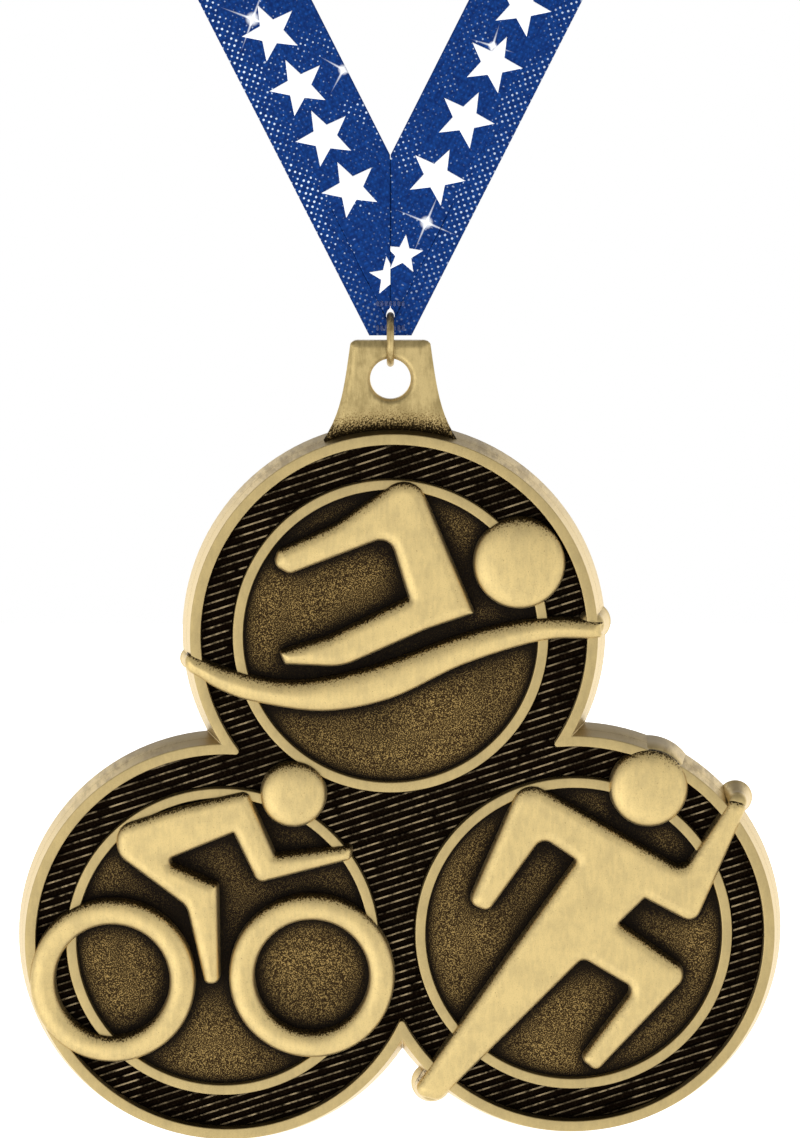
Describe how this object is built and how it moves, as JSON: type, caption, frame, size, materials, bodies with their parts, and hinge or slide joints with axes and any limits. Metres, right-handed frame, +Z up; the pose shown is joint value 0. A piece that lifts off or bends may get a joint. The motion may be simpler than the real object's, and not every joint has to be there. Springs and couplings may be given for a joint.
{
  "type": "sports finisher medal",
  "caption": "Antique gold medal of three joined round lobes with raised swimmer, cyclist and runner figures, hung by a jump ring from a folded blue neck ribbon.",
  "frame": {"origin": "top centre of the band round the folded ribbon, where the medal is hung up", "axes": "+Z up along the hanging medal, +X to the right seen from the front, the medal's decorated face looks to -Y"},
  "size_m": [0.074, 0.0094, 0.1252],
  "materials": {
    "antique_gold": "antique gold plating on a zinc casting, brushed bright on the raised faces",
    "antique_bronze": "antique plating left dark in the recesses",
    "dark_patina": "fine stippled floor with a dark patina",
    "ring_wire": "plated round wire",
    "ribbon_blue": "woven polyester ribbon with a printed dot pattern",
    "thread_navy": "polyester sewing thread",
    "white_print": "heat-transferred print",
    "elastic_black": "ribbed elastic"
  },
  "bodies": {
    "neck_ribbon": {"left_strand": "ribbon_blue", "right_strand": "ribbon_blue", "seam_backing": "ribbon_blue", "seam_stitches": "thread_navy", "bar_tacks": "thread_navy", "star_prints": "white_print", "folded_hank": "ribbon_blue", "hank_band": "elastic_black"},
    "jump_ring": {"jump_ring": "ring_wire"},
    "medal": {"base_plate": "antique_bronze", "rim": "antique_gold", "hanging_tab": "antique_gold", "hatched_field": "antique_bronze", "swim_ring": "antique_gold", "cycle_ring": "antique_gold", "run_ring": "antique_gold", "swim_dish": "dark_patina", "cycle_dish": "dark_patina", "run_dish": "dark_patina", "swimmer_body": "antique_gold", "swimmer_head": "antique_gold", "wave": "antique_gold", "cyclist_body": "antique_gold", "cyclist_head": "antique_gold", "rear_wheel": "antique_gold", "front_wheel": "antique_gold", "runner_body": "antique_gold", "runner_head": "antique_gold"}
  },
  "joints": [
    {"name": "ring_swing", "type": "hinge", "parent": "neck_ribbon", "child": "jump_ring", "pos_m": [0, 0, -0.04469], "axis": [1, 0, 0], "range_deg": [-40, 40]},
    {"name": "medal_swing", "type": "hinge", "parent": "jump_ring", "child": "medal", "pos_m": [0, 0, -0.04919], "axis": [0, 1, 0], "range_deg": [-9, 9]}
  ]
}
